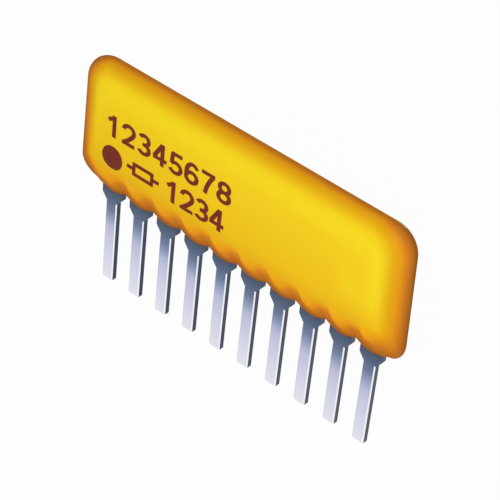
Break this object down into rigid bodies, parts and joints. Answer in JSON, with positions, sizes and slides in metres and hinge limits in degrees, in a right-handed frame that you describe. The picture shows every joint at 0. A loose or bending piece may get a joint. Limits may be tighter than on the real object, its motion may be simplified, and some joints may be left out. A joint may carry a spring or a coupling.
{
  "type": "resistor network",
  "caption": "Dipped single-in-line resistor network: a yellow epoxy body with a scalloped lower edge over a row of flat tinned clip leads for a circuit board.",
  "frame": {"origin": "middle of the lead row on the seating plane, where the leads widen above the board", "axes": "+X along the row from the first lead to the last, -Y out of the marked face, +Z away from the board"},
  "size_m": [0.0278, 0.0022, 0.0184],
  "materials": {
    "coating": "dipped epoxy, satin gloss, darker at the rim",
    "lead": "bright tin plate, duller at the shoulder",
    "substrate": "white alumina, unglazed",
    "conductor": "fired silver film",
    "resistor_film": "fired black film",
    "overglaze": "fired green glass",
    "solder": "smooth solder",
    "ink": "stamped red-brown ink"
  },
  "bodies": {
    "root": {"coating": "coating", "substrate": "substrate", "overglaze": "overglaze", "lead_1": "lead", "lead_2": "lead", "lead_3": "lead", "lead_4": "lead", "lead_5": "lead", "lead_6": "lead", "lead_7": "lead", "lead_8": "lead", "lead_9": "lead", "lead_10": "lead", "solder_1": "solder", "solder_2": "solder", "solder_3": "solder", "solder_4": "solder", "solder_5": "solder", "solder_6": "solder", "solder_7": "solder", "solder_8": "solder", "solder_9": "solder", "solder_10": "solder", "conductor_1": "conductor", "conductor_2": "conductor", "conductor_3": "conductor", "conductor_4": "conductor", "conductor_5": "conductor", "conductor_6": "conductor", "conductor_7": "conductor", "conductor_8": "conductor", "conductor_9": "conductor", "conductor_10": "conductor", "resistor_1": "resistor_film", "resistor_2": "resistor_film", "resistor_3": "resistor_film", "resistor_4": "resistor_film", "resistor_5": "resistor_film"}
  },
  "joints": []
}
